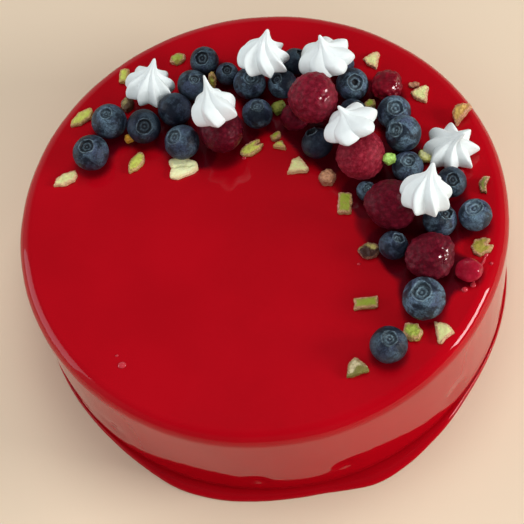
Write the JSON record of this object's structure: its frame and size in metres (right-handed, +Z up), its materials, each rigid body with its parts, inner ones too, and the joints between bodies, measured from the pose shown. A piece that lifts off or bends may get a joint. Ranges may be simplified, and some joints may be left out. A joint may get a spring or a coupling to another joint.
{
  "type": "mirror-glazed mousse cake",
  "caption": "Round mousse cake under a red mirror glaze, with a crescent of blueberries, raspberries, star-piped meringue kisses and chopped pistachios along its rim.",
  "frame": {"origin": "centre of the cake's flat base, level with what it stands on", "axes": "+Z up; -Y towards the side nearest the camera, where most of the top is bare; the toppings lie along the +Y and +X rim"},
  "size_m": [0.2025, 0.2076, 0.0905],
  "materials": {
    "glaze": "mirror-smooth wet glaze",
    "blueberry": "matt skin with a waxy bloom",
    "raspberry": "moist, velvety drupelets",
    "meringue": "smooth, dry, matt",
    "pistachio": "dry cut kernel"
  },
  "bodies": {
    "root": {"glazed_cake": "glaze", "blueberry_01": "blueberry", "blueberry_02": "blueberry", "blueberry_03": "blueberry", "blueberry_04": "blueberry", "blueberry_05": "blueberry", "blueberry_06": "blueberry", "blueberry_07": "blueberry", "blueberry_08": "blueberry", "blueberry_09": "blueberry", "blueberry_10": "blueberry", "blueberry_11": "blueberry", "blueberry_12": "blueberry", "blueberry_13": "blueberry", "blueberry_14": "blueberry", "blueberry_15": "blueberry", "blueberry_16": "blueberry", "blueberry_17": "blueberry", "blueberry_18": "blueberry", "blueberry_19": "blueberry", "blueberry_20": "blueberry", "blueberry_21": "blueberry", "blueberry_22": "blueberry", "blueberry_23": "blueberry", "blueberry_24": "blueberry", "blueberry_25": "blueberry", "blueberry_26": "blueberry", "raspberry_1": "raspberry", "raspberry_2": "raspberry", "raspberry_3": "raspberry", "raspberry_4": "raspberry", "raspberry_5": "raspberry", "raspberry_6": "raspberry", "raspberry_7": "raspberry", "raspberry_8": "raspberry", "meringue_1": "meringue", "meringue_2": "meringue", "meringue_3": "meringue", "meringue_4": "meringue", "meringue_5": "meringue", "meringue_6": "meringue", "meringue_7": "meringue", "pistachio_1": "pistachio", "pistachio_2": "pistachio", "pistachio_3": "pistachio", "pistachio_4": "pistachio", "pistachio_5": "pistachio"}
  },
  "joints": []
}
